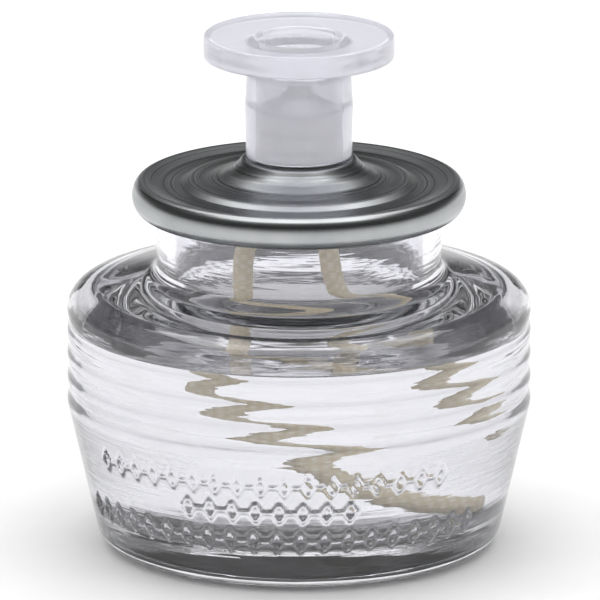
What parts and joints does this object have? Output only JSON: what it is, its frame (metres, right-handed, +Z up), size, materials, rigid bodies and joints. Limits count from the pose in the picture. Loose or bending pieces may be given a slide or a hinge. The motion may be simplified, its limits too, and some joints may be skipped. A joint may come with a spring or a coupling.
{
  "type": "liquid fuel burner",
  "caption": "Squat ribbed glass bottle of clear lamp fuel with a crimped metal closure, a wick in a short metal neck, and a milky stopper with a wide finger flange that pulls off.",
  "frame": {"origin": "on the bottle's axis, in the plane of the standing ring that it rests on", "axes": "+Z up along the bottle's axis, the way the stopper pulls off; -Y is the front"},
  "size_m": [0.0572, 0.0572, 0.064],
  "materials": {
    "clear_glass": "clear blown glass",
    "clear_fuel": "clear liquid",
    "brushed_tinplate": "spun, satin",
    "liner_compound": "matt",
    "drawn_steel": "drawn, satin",
    "glass_fibre_wick": "braided glass fibre",
    "cotton_wick": "braided cotton soaked in fuel",
    "milky_polyethylene": "milky, translucent, moulded"
  },
  "bodies": {
    "burner": {"glass_bottle": "clear_glass", "lamp_fuel": "clear_fuel", "closure_cap": "brushed_tinplate", "closure_gasket": "liner_compound", "burner_collar": "drawn_steel", "wick_nozzle": "drawn_steel", "burner_wick": "glass_fibre_wick", "feeder_wick_left": "cotton_wick", "feeder_wick_right": "cotton_wick"},
    "stopper": {"stopper": "milky_polyethylene"}
  },
  "joints": [
    {"name": "stopper_pull", "type": "slide", "parent": "burner", "child": "stopper", "axis": [0, 0, 1], "range_m": [0, 0.015]}
  ]
}
